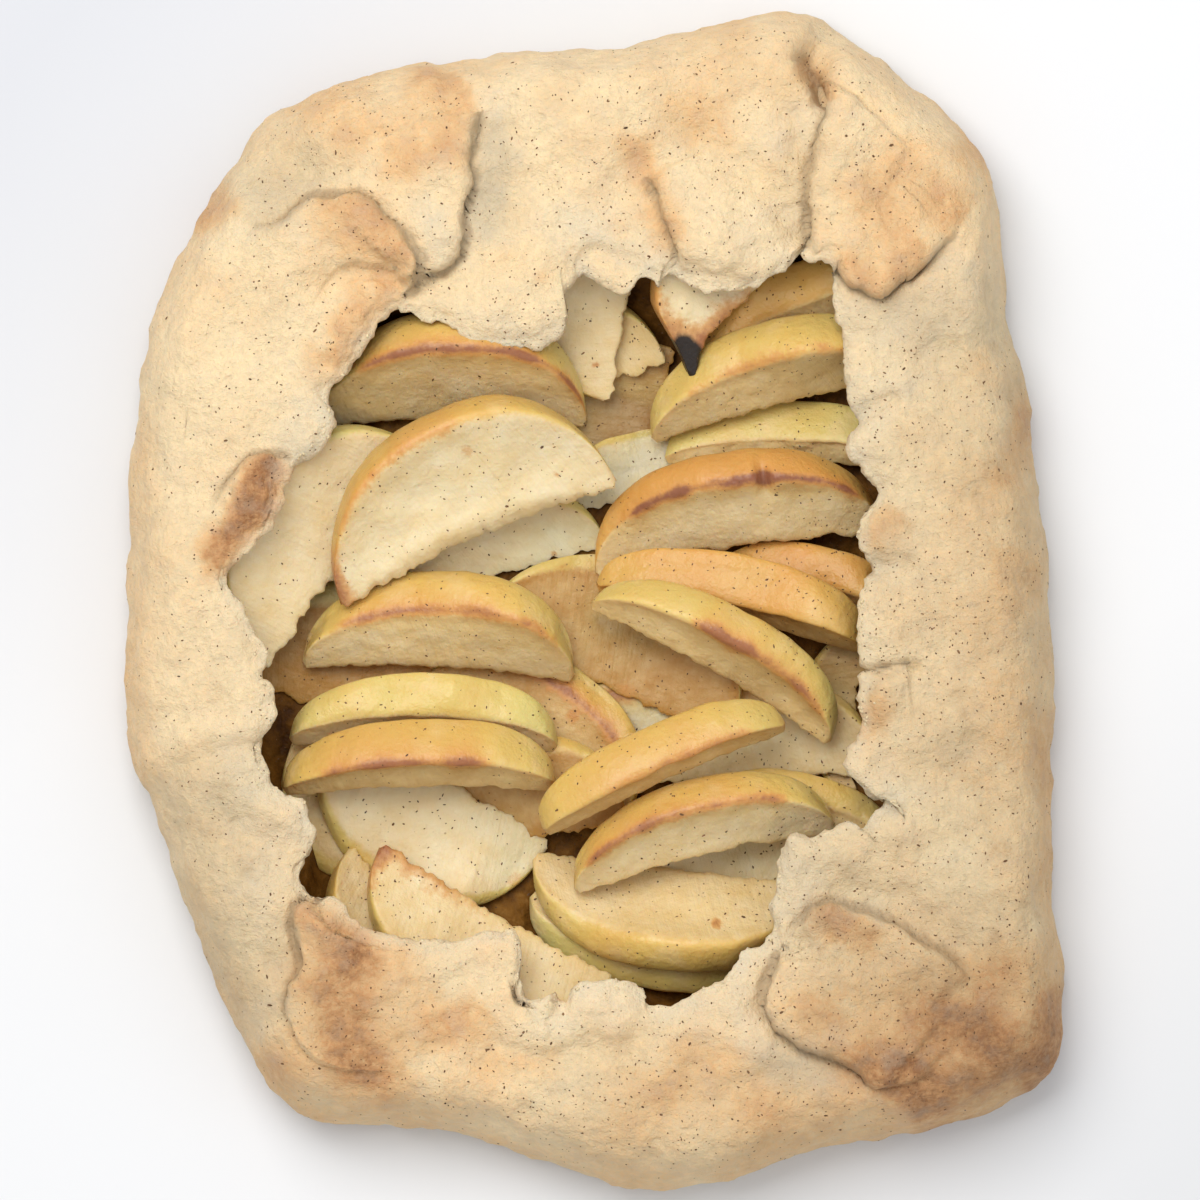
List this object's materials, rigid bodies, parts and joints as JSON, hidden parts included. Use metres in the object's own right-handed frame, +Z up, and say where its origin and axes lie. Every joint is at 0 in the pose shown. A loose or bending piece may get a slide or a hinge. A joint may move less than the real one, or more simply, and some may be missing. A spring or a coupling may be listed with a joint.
{
  "type": "apple galette",
  "caption": "Free-form baked apple galette: a folded, torn-edged pastry rim round a shingled heap of baked apple slices, resting flat.",
  "frame": {"origin": "middle of the flat underside", "axes": "+Z up, +Y along the longer side towards the end with the deep crease, +X across"},
  "size_m": [0.2254, 0.2829, 0.0456],
  "materials": {
    "pastry": "dry baked shortcrust, pale cream with browned high spots and fine spice flecks",
    "apple": "moist baked apple, pale flesh with yellow to orange peel and browned edges",
    "bed": "soft cooked apple and dark juice between and under the slices"
  },
  "bodies": {
    "root": {"crust": "pastry", "apple_bed": "bed", "slice_01": "apple", "slice_02": "apple", "slice_03": "apple", "slice_04": "apple", "slice_05": "apple", "slice_06": "apple", "slice_07": "apple", "slice_08": "apple", "slice_09": "apple", "slice_10": "apple", "slice_11": "apple", "slice_12": "apple", "slice_13": "apple", "slice_14": "apple", "slice_15": "apple", "slice_16": "apple", "slice_17": "apple", "slice_18": "apple", "slice_19": "apple", "slice_20": "apple", "slice_21": "apple", "slice_22": "apple", "slice_23": "apple", "slice_24": "apple", "slice_25": "apple", "slice_26": "apple", "slice_27": "apple", "slice_28": "apple", "slice_29": "apple", "slice_30": "apple", "slice_31": "apple", "slice_32": "apple", "slice_33": "apple", "slice_34": "apple", "slice_35": "apple", "slice_36": "apple"}
  },
  "joints": []
}
